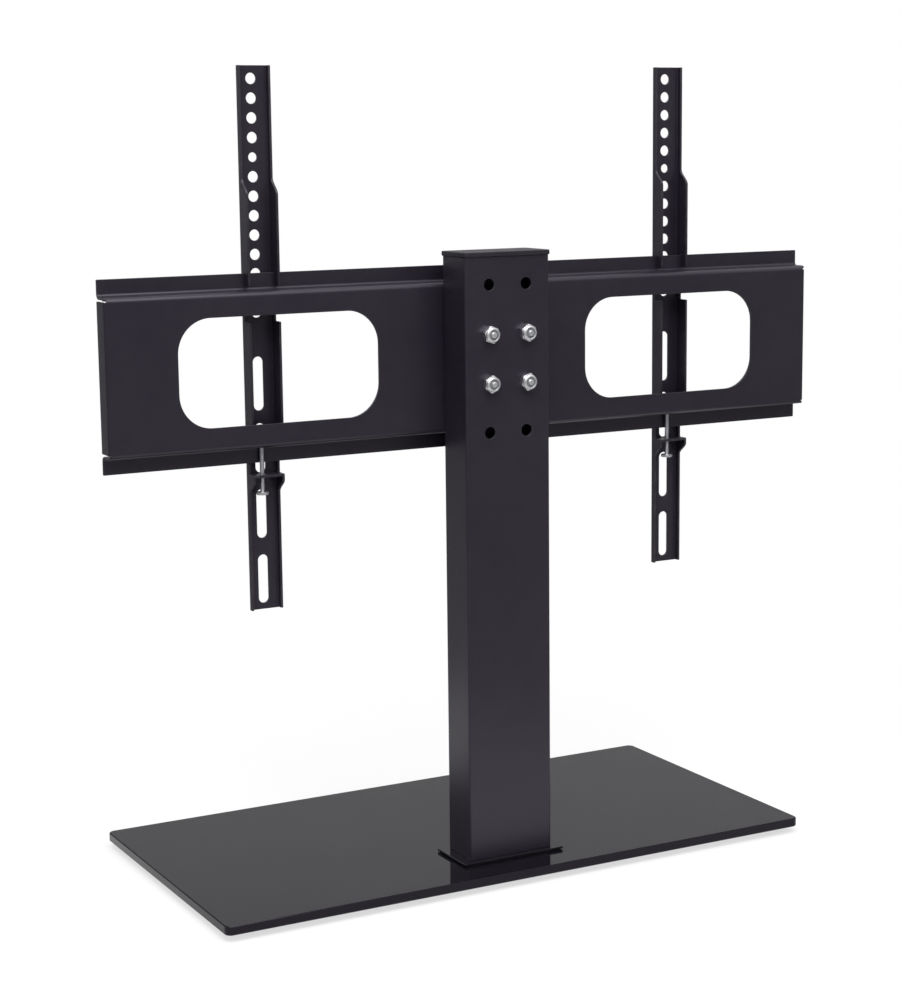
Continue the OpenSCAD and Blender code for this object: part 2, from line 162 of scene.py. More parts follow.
def inside(p, loops):
    """Whether a point is in the material, by counting the edges that it passes under."""
    hit = False
    for loop in loops:
        for (x0, y0), (x1, y1) in zip(loop, loop[1:] + loop[:1]):
            if (y0 > p[1]) != (y1 > p[1]) and p[0] < x0 + (p[1] - y0)/(y1 - y0)*(x1 - x0):
                hit = not hit
    return hit


# The edge of a sheet: (inset from the outline, drop from the face, tilt of the normal)

def round_edge(r, steps=3):
    return [(r*(1 - sin(pi/2*k/steps)), r*(1 - cos(pi/2*k/steps)), 90*k/steps)
            for k in range(steps + 1)]


def ground_edge(c, soft=0.12):
    """A ground and polished edge: a flat bevel with both its corners just broken."""
    return [(c + soft, 0, 0), (c - soft, soft*0.8, 45), (soft, c - soft*0.8, 45), (0, c + soft, 90)]


def flat_place(origin, x_dir, y_dir):
    """Puts a flat sheet in space: returns the point and the two directions of its face."""
    o, x, y = Vector(origin), Vector(x_dir), Vector(y_dir)
    up = x.cross(y)
    return lambda a, b: (o + x*a + y*b, x, y, up)


def path_place(parts, start, heading, along):
    """Follows the middle of a folded section: parts are (length, turn in degrees), and a
    turn goes away from the outer face. The second coordinate runs along the fold lines."""
    start, heading, along = Vector(start), Vector(heading), Vector(along)

    def place(a, b):
        p, h, left = start.copy(), heading.copy(), a
        for i, (length, turn) in enumerate(parts):
            n = h.cross(along)
            step = left if i == len(parts) - 1 else min(left, length)
            if turn:
                r, angle = length/radians(turn), radians(turn)*step/length
                p, h = p - n*r*(1 - cos(angle)) + h*r*sin(angle), h*cos(angle) - n*sin(angle)
            else:
                p = p + h*step
            left -= step
            if left <= 1e-9:
                break
        return p + along*b, h, along, h.cross(along)
    return place


def mirrored(place):
    """The same folded section, laid out from zero the other way."""
    def other(a, b):
        p, x, y, up = place(-a, -b)
        return p, -x, -y, up
    return other


def turned(points, closed=False, steps=4):
    """A profile of (radius, height, rounding) corners, going up the outer side, as (radius,
    height, tilt of the outer normal). A corner without rounding stays sharp."""
    out, n = [], len(points)
    flat = [Vector(p[:2]) for p in points]

    def tilt(a, b):
        return atan2(a.x - b.x, b.y - a.y)

    for i, (r, z, e) in enumerate(points):
        if not closed and i in (0, n - 1):
            t = tilt(flat[0], flat[1]) if i == 0 else tilt(flat[-2], flat[-1])
            out.append((r, z, t))
            continue
        a, b, c = flat[i - 1], flat[i], flat[(i + 1) % n]
        t0 = tilt(a, b)
        turn = (tilt(b, c) - t0 + pi) % (2*pi) - pi
        cut = min(e*tan(abs(turn)/2), 0.45*(a - b).length, 0.45*(c - b).length)
        p, q = b + (a - b).normalized()*cut, b + (c - b).normalized()*cut
        for k in range(steps + 1):
            s = k/steps
            m = p*(1 - s)**2 + b*2*s*(1 - s) + q*s*s
            out.append((m.x, m.y, t0 + turn*s))
    return out


def square_to(axis):
    """Two directions square to an axis along Y or Z, the first of them X."""
    axis, x = Vector(axis), Vector((1, 0, 0))
    return axis, x, axis.cross(x)


class Shape:
    """Gathers faces whose corners have exact normals, and makes one mesh of them."""

    def __init__(self):
        self.index, self.points, self.edge = {}, [], []
        self.corners, self.faces = [], []

    def add(self, p, n, edge=0.0):
        """A corner: a point in millimetres, its normal, and 1 on a rounded edge."""
        key = tuple(round(c, 4) + 0.0 for c in p)
        if key not in self.index:
            self.index[key] = len(self.points)
            self.points.append(Vector(p)*MM)
            self.edge.append(edge)
        self.corners.append((self.index[key], Vector(n).normalized()))
        return len(self.corners) - 1

    def face(self, *ids):
        kept = [c for i, c in enumerate(ids) if self.corners[c][0] != self.corners[ids[i - 1]][0]]
        if len(kept) > 2 and len({self.corners[c][0] for c in kept}) == len(kept):
            self.faces.append(kept)

    def strip(self, ring_a, ring_b):
        """Faces between two rings, which go round against the clock seen from outside b."""
        n = len(ring_a)
        for i in range(n):
            j = (i + 1) % n
            self.face(ring_a[i], ring_a[j], ring_b[j], ring_b[i])

    def sheet(self, loops, t, place, edge, creases=(), joined=lambda a, b: False):
        """A sheet of thickness t with holes, rounded edges and folds. place() gives the
        middle of the sheet. creases are (axis, coordinate) of the fold lines, and the
        edges that joined() picks meet each other once the sheet is folded."""
        for axis in (0, 1):
            cuts = [c for ax, c in creases if ax == axis]
            loops = [split_at(loop, axis, cuts) for loop in loops]
        moves = [outward(loop, joined) for loop in loops]
        inner = [[(p[0] - m.x*edge[0][0], p[1] - m.y*edge[0][0]) for p, m in zip(loop, ms)]
                 for loop, ms in zip(loops, moves)]
        flat, wires, starts = [], [], []
        for loop in inner:
            first = len(flat)
            starts.append(first)
            flat += [Vector(p) for p in loop]
            wires += [(first + i, first + (i + 1) % len(loop)) for i in range(len(loop))]
        outline = [p for loop in loops for p in loop]
        for axis, c in creases:
            on = sorted((i for i, p in enumerate(outline) if abs(p[axis] - c) < 1e-5),
                        key=lambda i: outline[i][1 - axis])
            for i, j in zip(on, on[1:]):
                middle = [(outline[i][k] + outline[j][k])/2 for k in (0, 1)]
                if inside(middle, loops):
                    wires.append((i, j))
        verts, _, tris, source, _, _ = geometry.delaunay_2d_cdt(flat, wires, [], 0, 1e-7)
        new_id = {old: new for new, olds in enumerate(source) for old in olds}
        tris = [f for f in tris if inside(
            (sum(verts[i].x for i in f)/3, sum(verts[i].y for i in f)/3), inner)]
        sides = {}
        for side in (1, -1):
            sides[side] = []
            for v in verts:
                p, _, _, up = place(v.x, v.y)
                sides[side].append(self.add(p + up*side*t/2, up*side))
            for f in tris:
                a, b, c = (verts[i] for i in f)
                against = (b - a).cross(c - a) > 0
                corners = [sides[side][i] for i in f]
                self.face(*(corners if against == (side > 0) else reversed(corners)))
        for loop, ms, start in zip(loops, moves, starts):
            n, halves = len(loop), []
            for side in (1, -1):
                rings = [[sides[side][new_id[start + i]] for i in range(n)]]
                for inset, drop, tilt in edge[1:]:
                    ring = []
                    for q, m in zip(loop, ms):
                        p, x, y, up = place(q[0] - m.x*inset, q[1] - m.y*inset)
                        out = (x*m.x + y*m.y).normalized()
                        normal = out*sin(radians(tilt)) + up*side*cos(radians(tilt))
                        ring.append(self.add(p + up*side*(t/2 - drop), normal, 1.0))
                    rings.append(ring)
                halves += rings if side > 0 else list(reversed(rings))
            for upper, lower in zip(halves, halves[1:]):
                for i in range(n):
                    j = (i + 1) % n
                    if not joined(Vector(loop[i]), Vector(loop[j])):
                        self.face(upper[j], upper[i], lower[i], lower[j])

    def lathe(self, profile, origin, axis=(0, 0, 1), around=48, closed=False):
        """Turns a profile of (radius, height, tilt), which goes up the outer side."""
        origin, (axis, x, y) = Vector(origin), square_to(axis)
        rings = []
        for r, z, tilt in profile:
            ring = []
            for i in range(around):
                radial = x*cos(2*pi*i/around) + y*sin(2*pi*i/around)
                normal = radial*cos(tilt) + axis*sin(tilt)
                ring.append(self.add(origin + axis*z + radial*r, normal))
            rings.append(ring)
        for a, b in zip(rings, rings[1:] + rings[:1] if closed else rings[1:]):
            self.strip(a, b)

    def hexagon(self, flat, h, origin, axis, turn=0.0, bore=None, bevel=30, soft=0.35):
        """A hexagon body with both faces bevelled to a circle and its corners just broken."""
        origin, (axis, x, y) = Vector(origin), square_to(axis)
        rim = []
        for k in range(6):
            middle = radians(turn + 60*k)
            half = flat/2*tan(radians(30)) - soft*tan(radians(30))
            side, along = Vector((cos(middle), sin(middle))), Vector((-sin(middle), cos(middle)))
            for i in range(9):
                rim.append((side*flat/2 + along*half*(i/4 - 1), side))
            corner = side*(flat/2 - soft) + along*half
            for i in (1, 2, 3):
                out = Vector((cos(middle + radians(15*i)), sin(middle + radians(15*i))))
                rim.append((corner + out*soft, out))

        def ring(points, z, normal):
            return [self.add(origin + x*p.x + y*p.y + axis*z(p), normal(p, out))
                    for p, out in points]

        def fall(p):
            return max(p.length - flat/2*0.97, 0)*tan(radians(bevel))

        def cone(side):
            lean = radians(bevel)
            return lambda p, out: ((x*p.x + y*p.y).normalized()*sin(lean) + axis*side*cos(lean))

        def straight(p, out):
            return x*out.x + y*out.y

        inner = [(p.normalized()*flat/2*0.97, out) for p, out in rim]
        wall = [(p, out) for p, out in rim]
        centre = [(p.normalized()*(bore or 1e-6), out) for p, out in rim]
        low = [ring(centre, lambda p: 0, lambda p, out: -axis),
               ring(inner, lambda p: 0, lambda p, out: -axis),
               ring(wall, fall, cone(-1))]
        sides = [ring(wall, fall, straight), ring(wall, lambda p: h - fall(p), straight)]
        high = [ring(wall, lambda p: h - fall(p), cone(1)),
                ring(inner, lambda p: h, lambda p, out: axis),
                ring(centre, lambda p: h, lambda p, out: axis)]
        for group in (low, sides, high):
            for a, b in zip(group, group[1:]):
                self.strip(a, b)
        if bore:
            hole = [ring(centre, lambda p: h, lambda p, out: -(x*p.x + y*p.y)),
                    ring(centre, lambda p: 0, lambda p, out: -(x*p.x + y*p.y))]
            self.strip(*hole)

    def thread(self, core, crest, pitch, start, end, origin, axis, around=24):
        """The ridge of a screw thread, from one height to another, its root in the core."""
        origin, (axis, x, y) = Vector(origin), square_to(axis)
        steps = round((end - start)/pitch*around)
        rings = []
        for i in range(steps + 1):
            fade = min(1, i/(around/3), (steps - i)/(around/3))
            angle, z = 2*pi*i/around, start + (end - start)*i/steps
            radial = x*cos(angle) + y*sin(angle)
            tip = core + (crest - core)*fade
            up, down = radial*0.5 + axis*0.87, radial*0.5 - axis*0.87
            at = [(core - 0.08, -0.46, down), (tip, -0.07, down), (tip, -0.07, radial),
                  (tip, 0.07, radial), (tip, 0.07, up), (core - 0.08, 0.46, up)]
            rings.append([self.add(origin + radial*r + axis*(z + pitch*w), n) for r, w, n in at])
        for a, b in zip(rings, rings[1:]):
            for i in (0, 2, 4):
                self.face(a[i], b[i], b[i + 1], a[i + 1])
            self.face(a[5], b[5], b[0], a[0])
        self.face(*(rings[0][i] for i in (0, 1, 3, 5)))
        self.face(*(rings[-1][i] for i in (5, 3, 1, 0)))

    def cross_recess(self, rim, length, width, depth, origin, axis, around=48):
        """A flat face inside a rim of that radius, with a cross-shaped recess in it."""
        origin, (axis, x, y) = Vector(origin), square_to(axis)
        cross, h = [], width/2
        for k in range(4):
            c, s = round(cos(k*pi/2)), round(sin(k*pi/2))
            for px, py in ((length/2, -h*0.8), (length/2, h*0.8), (h, h)):
                cross.append((px*c - py*s, px*s + py*c))
        cross = soften(cross, 0.2, 2)
        ring = [(rim*cos(2*pi*i/around), rim*sin(2*pi*i/around)) for i in range(around)]
        loops = [ring, list(reversed(cross))]
        flat = [Vector(p) for loop in loops for p in loop]
        wires = [(i, (i + 1) % around) for i in range(around)]
        wires += [(around + i, around + (i + 1) % len(cross)) for i in range(len(cross))]
        verts, _, tris, _, _, _ = geometry.delaunay_2d_cdt(flat, wires, [], 0, 1e-7)
        ids = [self.add(origin + x*v.x + y*v.y, axis) for v in verts]
        for f in tris:
            a, b, c = (verts[i] for i in f)
            if inside(((a.x + b.x + c.x)/3, (a.y + b.y + c.y)/3), loops):
                order = f if (b - a).cross(c - a) > 0 else reversed(f)
                self.face(*(ids[i] for i in order))
        n, floor = len(cross), origin - axis*depth
        centre = self.add(floor, axis)
        for i in range(n):
            p, q = Vector(cross[i]), Vector(cross[(i + 1) % n])
            side = (q - p).normalized()
            inward = x*-side.y + y*side.x
            top = [self.add(origin + x*v.x + y*v.y, inward) for v in (p, q)]
            low = [self.add(floor + (x*v.x + y*v.y)*0.7, inward) for v in (p, q)]
            self.face(top[0], top[1], low[1], low[0])
            base = [self.add(floor + (x*v.x + y*v.y)*0.7, axis) for v in (p, q)]
            self.face(base[0], base[1], centre)

    def piece(self, name):
        """The finished object, with its exact normals and its edge mask."""
        mesh = bpy.data.meshes.new(name)
        faces = [[self.corners[c][0] for c in f] for f in self.faces]
        mesh.from_pydata(self.points, [], faces, shade_flat=False)
        mask = mesh.attributes.new(EDGE_LAYER, "FLOAT", "POINT")
        mask.data.foreach_set("value", self.edge)
        mesh.normals_split_custom_set([self.corners[c][1] for f in self.faces for c in f])
        obj = bpy.data.objects.new(name, mesh)
        bpy.context.scene.collection.objects.link(obj)
        return obj


# The pieces of metal, glass, rubber and plastic

def place_piece(obj, body, nodes, finish):
    obj.data.materials.append(finish)
    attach(obj, body)
    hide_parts(*nodes)
    return obj


def fold_lines(starts, length, steps=4):
    return [(0, side*(a + length*k/steps)) for a in starts for side in (-1, 1)
            for k in range(steps + 1)]


def glass_sheet():
    shape = Shape()
    outline = rounded_box(0, 0, GLASS["w"], GLASS["d"], GLASS["corner"], 10)
    holes = [round_hole(x, y, GLASS["hole"]) for x, y in BASE_BOLTS]
    place = flat_place((0, 0, GLASS["bottom"] + GLASS["t"]/2), (1, 0, 0), (0, 1, 0))
    shape.sheet([outline] + holes, GLASS["t"], place, ground_edge(GLASS["bevel"]))
    return shape.piece("glass_sheet")


def rubber_feet():
    shape = Shape()
    r, h = FOOT["r"], GLASS["bottom"]
    profile = turned([(0, 0, 0), (r, 0, 1.2), (r, h, 0.4), (0, h, 0)])
    for sx in (-1, 1):
        for sy in (-1, 1):
            x, y = GLASS["w"]/2 - FOOT["inset"], GLASS["d"]/2 - FOOT["inset"]
            shape.lathe(profile, (sx*x, sy*y, 0))
    return shape.piece("rubber_feet")


def foot_flange():
    shape = Shape()
    w, d, t, z = PLATE["w"], PLATE["d"], PLATE["t"], PLATE["bottom"]
    holes = [round_hole(x, y, PLATE["hole"], 24) for x, y in BASE_BOLTS]
    place = flat_place((0, COLUMN["y"], z + t/2), (1, 0, 0), (0, 1, 0))
    shape.sheet([rounded_box(0, 0, w, d, PLATE["corner"])]
                + [[(x, y - COLUMN["y"]) for x, y in hole] for hole in holes],
                t, place, round_edge(RIM))
    return shape.piece("foot_flange")


def tube(shape, w, d, wall, corner, bottom, top, holes, edge):
    """An upright tube, rolled from a flat strip that starts and ends in the front wall."""
    mid = corner - wall/2
    bend, across, deep = mid*pi/2, w - 2*corner, d - 2*corner
    around = 2*across + 2*deep + 4*bend
    walls = [across/2, deep, across, deep, across/2]
    parts, lines, at = [], [], 0
    for i, length in enumerate(walls):
        parts.append((length, 0))
        at += length
        if i < 4:
            parts.append((bend, 90))
            lines += [(0, at + bend*k/4) for k in range(5)]
            at += bend
    start = (0, COLUMN["y"] - d/2 + wall/2, 0)
    place = path_place(parts, start, (1, 0, 0), (0, 0, 1))
    loops = [[(0, bottom), (around, bottom), (around, top), (0, top)]]
    for x, z, r in holes:
        loops.append(round_hole(around/2 - x, z, r))
        loops.append(round_hole(x % around, z, r))

    def seam(p, q):
        return abs(p[0] - q[0]) < 1e-6 and min(p[0], around - p[0]) < 1e-6
    shape.sheet(loops, wall, place, edge, lines, seam)


def column_body():
    shape = Shape()
    top = COLUMN["top"] - COLUMN["first_hole"]
    holes = [(sx*BOLT_X, top - COLUMN["hole_step"]*level, COLUMN["hole"])
             for sx in (-1, 1) for level in range(COLUMN["levels"])]
    tube(shape, COLUMN["w"], COLUMN["d"], COLUMN["wall"], COLUMN["corner"],
         COLUMN["bottom"], COLUMN["top"], holes, round_edge(0.3))
    return shape.piece("column_body")


def end_cap():
    shape = Shape()
    w, d, t = CAP["w"], CAP["d"], CAP["t"]
    place = flat_place((0, COLUMN["y"], COLUMN["top"] + t/2), (1, 0, 0), (0, 1, 0))
    shape.sheet([rounded_box(0, 0, w, d, CAP["corner"])], t, place, round_edge(CAP["round"], 5))
    tube(shape, CAP["plug_w"], CAP["plug_d"], CAP["wall"], 2.2, COLUMN["top"] - CAP["plug"],
         COLUMN["top"], [], round_edge(0.4))
    return shape.piece("end_cap")


def folded_plate():
    """Worked out flat, then folded: a flange and a rail along each long side of the panel,
    and a short flange at each end."""
    shape = Shape()
    mid = BAR["fold"] - SHEET/2
    bend, panel = mid*pi/2, BAR["h"]/2 - BAR["fold"]
    flange, rail = BAR["rear"] - BAR["rail_y"] - 2*BAR["fold"], BAR["rail_h"] - mid + SHEET/2
    side, end = BAR["length"]/2, BAR["length"]/2 - BAR["end_fold"]
    reach, turn = BAR["rear"] - BAR["rail_y"] - BAR["end_fold"], (BAR["end_fold"] - SHEET/2)*pi/2
    flap_top, slit = panel + BAR["flap"], panel + BAR["flap"] + BAR["gap"]
    first, out = panel + bend, end + turn + reach
    half = first + flange + bend + rail
    corner = [(half, side), (slit, side), (slit, end), (flap_top, end), (flap_top, out)]
    quarter = [(a, -b) for a, b in reversed(corner)] + corner
    outline = soften(quarter + [(-a, -b) for a, b in quarter], 0.7, 3)
    loops = [outline]
    for sx in (-1, 1):
        loops.append(box_hole(0, sx*WINDOW["x"], WINDOW["h"], WINDOW["w"], WINDOW["r"], 16))
        for sz in (-1, 1):
            loops.append(round_hole(BOLT_MID - BAR["z"] + sz*BOLT_Z, sx*BOLT_X, BOLT["hole"]))
    y = BAR["rear"] - SHEET/2
    folds = [(panel, 0), (bend, 90), (flange, 0), (bend, -90), (rail, 0)]
    upper = path_place(folds, (0, y, BAR["z"]), (0, 0, 1), (1, 0, 0))
    lower = mirrored(path_place(folds, (0, y, BAR["z"]), (0, 0, -1), (-1, 0, 0)))
    flap = [(turn, 90), (reach, 0)]
    right = path_place(flap, (end, y, BAR["z"]), (1, 0, 0), (0, 0, -1))
    left = path_place(flap, (-end, y, BAR["z"]), (-1, 0, 0), (0, 0, 1))

    def place(a, b):
        if abs(b) > end and abs(a) < (flap_top + slit)/2:
            p, heading, up_line, up = right(b - end, -a) if b > 0 else left(-b - end, a)
            return (p, -up_line, heading, up) if b > 0 else (p, up_line, -heading, up)
        return (upper if a >= 0 else lower)(a, b)

    lines = fold_lines([panel, first + flange], bend)
    lines += [(1, s*(end + turn*k/4)) for s in (-1, 1) for k in range(5)]
    shape.sheet(loops, SHEET, place, round_edge(RIM), lines)
    return shape.piece("folded_plate")


def slope(start, stop, steps=10):
    """A smooth step from one (depth, height) to another."""
    return [(start[0] + (stop[0] - start[0])*(1 - cos(pi*i/steps))/2,
             start[1] + (stop[1] - start[1])*i/steps) for i in range(steps + 1)]


def channel_arm(name, x, small):
    """An arm, worked out flat and folded: its web, and two side walls with the hook that
    goes over the upper rail, the deep part between the flanges and the ears at the foot."""
    shape = Shape()
    mid = ARM["fold"] - SHEET/2
    bend, web = mid*pi/2, ARM["w"]/2 - ARM["fold"]
    d, deep, slit = ARM["depth"], ARM["depth"] + ARM["reach"], SHEET + 1
    wall = [(d, ARM["bottom"])] + slope((d, WALL["ear_low"]), (deep, WALL["ear_full"]))
    wall += [(deep, WALL["ear_top"]), (d, WALL["ear_top"]),
             (d, WALL["middle_low"]), (deep, WALL["middle_low"]),
             (deep, WALL["middle_top"]), (d, WALL["middle_top"]),
             (d, 0), (d + slit, 0), (d + slit, WALL["hook_tip"]), (deep, WALL["hook_tip"])]
    wall += slope((deep, WALL["shoulder"]), (d, WALL["shoulder_end"])) + [(d, ARM["top"])]
    flat = [(web + bend + depth - ARM["fold"], z) for depth, z in wall]
    outline = soften(flat + [(-a, z) for a, z in reversed(flat)], 0.7, 3)
    loops = [outline]
    for i in range(TV_HOLES["count"]):
        r = TV_HOLES["small"] if i + 1 == small else TV_HOLES["r"]
        z = ARM["top"] - TV_HOLES["first"] - TV_HOLES["step"]*i
        loops.append(round_hole(ARM["line"], z, r, 32))
    w = TV_SLOTS["w"]
    for top, length in TV_SLOTS["places"]:
        loops.append(box_hole(ARM["line"], top - length/2, w, length, w/2 - 0.01))
    parts = [(web, 0), (bend, 90), (deep, 0)]
    at = (x, ARM["front"] + SHEET/2, ARM["seat"])
    right = path_place(parts, at, (1, 0, 0), (0, 0, 1))
    left = mirrored(path_place(parts, at, (-1, 0, 0), (0, 0, -1)))
    shape.sheet(loops, SHEET, lambda a, b: (right if a >= 0 else left)(a, b),
                round_edge(RIM), fold_lines([web], bend))
    lug_y = ARM["front"] + LUG["y"]
    lug = flat_place((x, lug_y, ARM["seat"] - LUG["below"]), (1, 0, 0), (0, 1, 0))
    hole = round_hole(SCREW["off"], SCREW["y"] - lug_y, SCREW["r"] + 0.05, 32)
    shape.sheet([rounded_box(0, 0, ARM["w"] - SHEET, LUG["d"], LUG["corner"], 4), hole], SHEET,
                lug, round_edge(LUG["rim"]))
    return shape.piece(name)


def at_bolts():
    for sx in (-1, 1):
        for sz in (-1, 1):
            yield sx*BOLT_X, BOLT_MID + sz*BOLT_Z, (sx + 2*sz)*NUT["turn"]


def hex_bolts():
    shape = Shape()
    y, axis = BAR["rear"] - SHEET - WASHER["t"], (0, 1, 0)
    r, root, plain, end = BOLT["r"], BOLT["root"], BOLT["plain"], COLUMN["rear"] + BOLT["past"] - y
    profile = turned([(r, 0, 0), (r, plain, 0.3), (root, plain, 0), (root, end - 2.3, 0.2),
                      (2.45, end - 1.5, 0.1), (2.2, end, 0.5), (0, end, 0)])
    for x, z, _ in at_bolts():
        shape.hexagon(BOLT["flats"], BOLT["head"], (x, y - BOLT["head"], z), axis, turn=30)
        shape.lathe(profile, (x, y, z), axis)
        shape.thread(root, r, BOLT["pitch"], plain - 1, end - 2.5, (x, y, z), axis)
    return shape.piece("hex_bolts")


def flat_washers():
    shape = Shape()
    r, t, bore = WASHER["r"], WASHER["t"], WASHER["bore"]
    profile = turned([(r, 0, 0.25), (r, t, 0.4), (bore, t, 0.2), (bore, 0, 0.2)], closed=True)
    for x, z, _ in at_bolts():
        shape.lathe(profile, (x, BAR["rear"] - SHEET, z), (0, -1, 0), closed=True)
    return shape.piece("flat_washers")


def lock_nuts():
    shape = Shape()
    collar, h, ring = NUT["collar"], NUT["h"], NUT["ring"]
    profile = turned([(collar, 4.9, 0), (collar - 0.05, 6.8, 0.9), (collar - 1, h, 0.9),
                      (ring + 0.1, h, 0.3), (ring, 6, 0)])
    for x, z, turn in at_bolts():
        at = (x, COLUMN["rear"], z)
        shape.hexagon(BOLT["flats"], NUT["body"], at, (0, 1, 0), turn=30 + turn,
                      bore=NUT["bore"])
        shape.lathe(profile, at, (0, 1, 0))
    return shape.piece("lock_nuts")


def nylon_rings():
    shape = Shape()
    ring = NUT["ring"]
    profile = turned([(ring, 6, 0), (ring, 7.5, 0.1), (2.45, 7.5, 0.1), (3.8, 6, 0)])
    for x, z, _ in at_bolts():
        shape.lathe(profile, (x, COLUMN["rear"], z), (0, 1, 0))
    return shape.piece("nylon_rings")


def pan_screw(name, x):
    """A machine screw, its pan head down and its thread up to a bevelled tip."""
    shape = Shape()
    head_r, head_h, flat_r, root = SCREW["head_r"], SCREW["head_h"], SCREW["flat_r"], SCREW["root"]
    at = (x + SCREW["off"], SCREW["y"], SCREW["tip"] - SCREW["length"] - head_h)
    end = head_h + SCREW["length"]
    shape.lathe(turned([(flat_r, 0, 0), (head_r, 0, 1.2), (head_r, head_h, 0.25),
                        (root, head_h, 0), (root, end - 0.5, 0.1), (root - 0.4, end, 0.1),
                        (0, end, 0)]), at)
    shape.cross_recess(flat_r, 5, 1.3, 1.2, at, (0, 0, -1))
    shape.thread(root, SCREW["r"], SCREW["pitch"], head_h + 0.4, end - 0.3, at, (0, 0, 1))
    return shape.piece(name)


# Finishes. A group gives colours, masks and heights; the shader stays in the material

class Nodes:
    """Adds nodes to a tree. An input is set to a value or joined to another node's output."""

    def __init__(self, tree):
        self.tree = tree

    def __call__(self, kind, inputs=None, **settings):
        node = self.tree.nodes.new("ShaderNode" + kind)
        for key, value in settings.items():
            setattr(node, key, value)
        for key, value in (inputs or {}).items():
            if isinstance(value, bpy.types.NodeSocket):
                self.tree.links.new(value, node.inputs[key])
            else:
                node.inputs[key].default_value = value
        return node

    def maths(self, operation, a, b=0.0, clamp=False):
        return self("Math", {0: a, 1: b}, operation=operation, use_clamp=clamp).outputs[0]

    def noise(self, scale, detail=2.0, rough=0.5, stretch=None):
        at = self("TexCoord").outputs["Object"]
        if stretch:
            at = self("Mapping", {"Vector": at, "Scale": stretch}).outputs[0]
        return self("TexNoise", {"Vector": at, "Scale": scale, "Detail": detail,
                                 "Roughness": rough}).outputs["Fac"]

    def band(self, value, low, high, to_low=0.0, to_high=1.0):
        return self("MapRange", {"Value": value, "From Min": low, "From Max": high,
                                 "To Min": to_low, "To Max": to_high}).outputs[0]

    def mix(self, factor, a, b):
        node = self("Mix", {"Factor": factor}, data_type="RGBA")
        for socket, value in ((node.inputs[6], a), (node.inputs[7], b)):
            if isinstance(value, bpy.types.NodeSocket):
                self.tree.links.new(value, socket)
            else:
                socket.default_value = value
        return node.outputs[2]


def group(name, inputs, outputs, fill):
    """A node group. inputs are (name, kind, value), and fill(nodes, sockets) returns the
    outputs in order."""
    tree = bpy.data.node_groups.new(name, "ShaderNodeTree")
    for label, kind, value in inputs:
        socket = tree.interface.new_socket(label, in_out="INPUT", socket_type="NodeSocket" + kind)
        socket.default_value = value
    for label, kind in outputs:
        tree.interface.new_socket(label, in_out="OUTPUT", socket_type="NodeSocket" + kind)
    start, end = tree.nodes.new("NodeGroupInput"), tree.nodes.new("NodeGroupOutput")
    results = fill(Nodes(tree), start.outputs)
    for (label, _), result in zip(outputs, results):
        tree.links.new(result, end.inputs[label])
    return tree


def grey(value, warm=0.0):
    return (value*(1 + warm), value, value*(1 - warm), 1)


def tone_nodes(n, s):
    """Cloudy change of a colour, with finer mottling on top."""
    cloud = n.band(n.noise(s["Scale"], 3), 0.3, 0.7)
    fine = n.band(n.noise(n.maths("MULTIPLY", s["Scale"], 9.0), 2), 0.3, 0.7)
    both = n.maths("ADD", n.maths("MULTIPLY", cloud, 0.65), n.maths("MULTIPLY", fine, 0.35))
    light = n.mix(s["Spread"], s["Colour"], (1, 1, 1, 1))
    dark = n.mix(s["Spread"], s["Colour"], (0, 0, 0, 1))
    return n.mix(both, dark, light), both


TONE = group("colour_clouding",
             [("Colour", "Color", grey(0.5)), ("Spread", "Float", 0.01), ("Scale", "Float", 20.0)],
             [("Colour", "Color"), ("Cloud", "Float")], tone_nodes)


def peel_nodes(n, s):
    """The small rounded dimples of a sprayed or moulded skin, and a slower wave under them."""
    fine = n.noise(s["Scale"], 1.5, 0.45)
    wave = n.noise(n.maths("MULTIPLY", s["Scale"], 0.22), 1)
    height = n.maths("ADD", fine, n.maths("MULTIPLY", wave, s["Wave"]))
    return height, n.band(fine, 0.35, 0.65)


PEEL = group("dimpled_skin", [("Scale", "Float", 900.0), ("Wave", "Float", 1.2)],
             [("Height", "Float"), ("Dimples", "Float")], peel_nodes)


def edge_nodes(n, s):
    """Where the rounded edge of a sheet is rubbed thin."""
    edge = n("Attribute", attribute_name=EDGE_LAYER).outputs["Fac"]
    patches = n.band(n.noise(70.0, 4, 0.65), n.maths("SUBTRACT", 0.72, s["Amount"]), 0.78)
    rub = n.maths("MULTIPLY", edge, patches, clamp=True)
    return edge, rub


EDGE = group("edge_wear", [("Amount", "Float", 0.3)],
             [("Edge", "Float"), ("Rubbed", "Float")], edge_nodes)


def scratch_nodes(n, s):
    """Fine lines in two directions, broken up over the surface."""
    lines = None
    for turn in ((1.0, 0.035, 1.0), (0.05, 1.0, 0.6)):
        line = n.band(n.noise(s["Scale"], 2, 0.6, stretch=turn), 0.6, 0.72)
        lines = line if lines is None else n.maths("MAXIMUM", lines, line)
    patches = n.band(n.noise(n.maths("MULTIPLY", s["Scale"], 0.06), 2), 0.4, 0.65)
    return (n.maths("MULTIPLY", n.maths("MULTIPLY", lines, patches), s["Amount"], clamp=True),)


SCRATCH = group("fine_scratches", [("Scale", "Float", 800.0), ("Amount", "Float", 0.5)],
                [("Lines", "Float")], scratch_nodes)


def dust_nodes(n, s):
    """A thin film of dust: more on faces that look up, in soft patches with specks."""
    up = n("SeparateXYZ", {0: n("NewGeometry").outputs["Normal"]}).outputs["Z"]
    lying = n.band(up, 0.2, 1.0, 0.25, 1.0)
    patches = n.band(n.noise(14.0, 5, 0.6), 0.35, 0.75)
    specks = n.band(n.noise(1400.0, 1), 0.68, 0.76)
    film = n.maths("ADD", n.maths("MULTIPLY", patches, 0.6), n.maths("MULTIPLY", specks, 0.8))
    return (n.maths("MULTIPLY", n.maths("MULTIPLY", film, lying), s["Amount"], clamp=True),)


